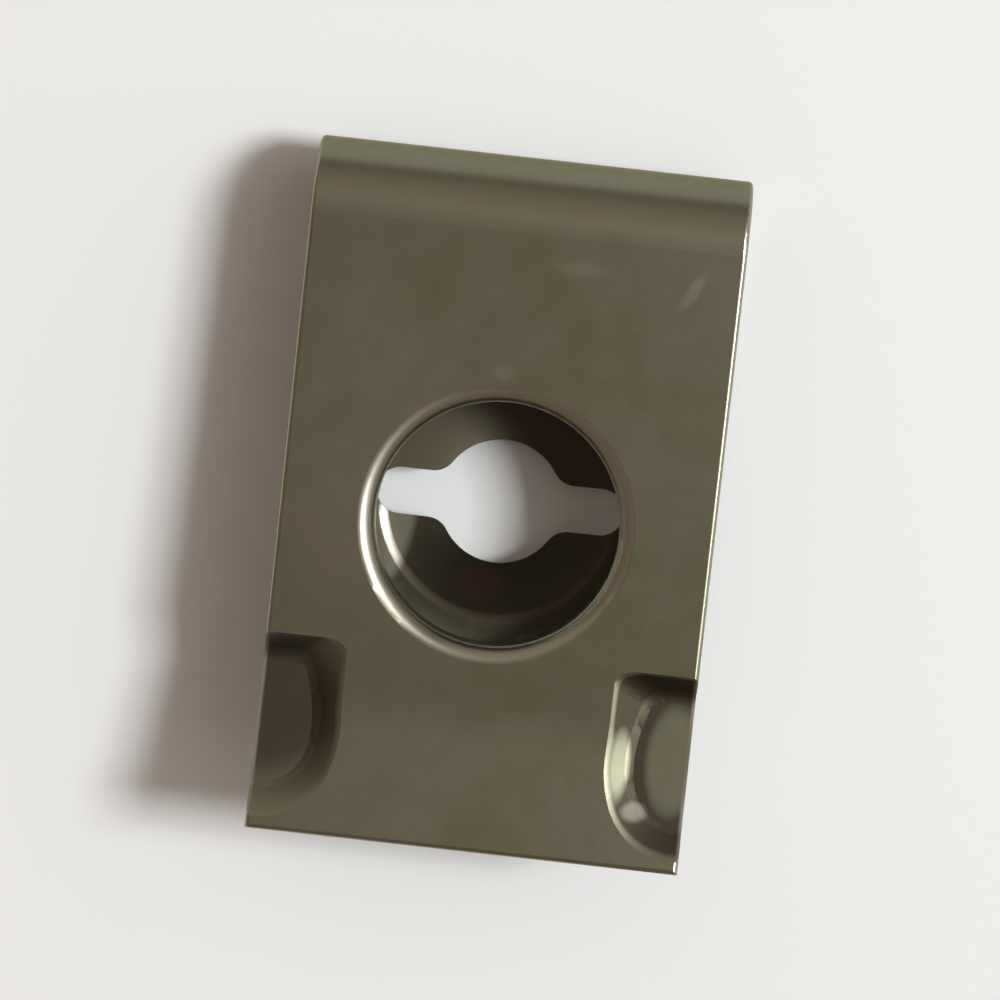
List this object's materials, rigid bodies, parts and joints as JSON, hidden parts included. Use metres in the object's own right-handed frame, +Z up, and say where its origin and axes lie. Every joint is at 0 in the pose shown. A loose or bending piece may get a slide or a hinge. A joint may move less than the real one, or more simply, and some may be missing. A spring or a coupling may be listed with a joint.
{
  "type": "u clip speed nut",
  "caption": "Folded spring steel clip that slides over a panel edge and takes a tapping screw: rolled guide hole in the plain leg, pressed helical thread in the other.",
  "frame": {"origin": "on the screw axis, at the middle of the thread that the prongs make", "axes": "+Z up from the surface that the clip lies on, +Y towards the fold, X across the strip; the screw axis leans from Z because the clip rests on its fold and its deeper prong"},
  "size_m": [0.011, 0.0174, 0.0051],
  "materials": {
    "spring_steel": "dark olive-grey oiled satin, as hardened and tempered"
  },
  "bodies": {
    "root": {"u_clip": "spring_steel"}
  },
  "joints": []
}
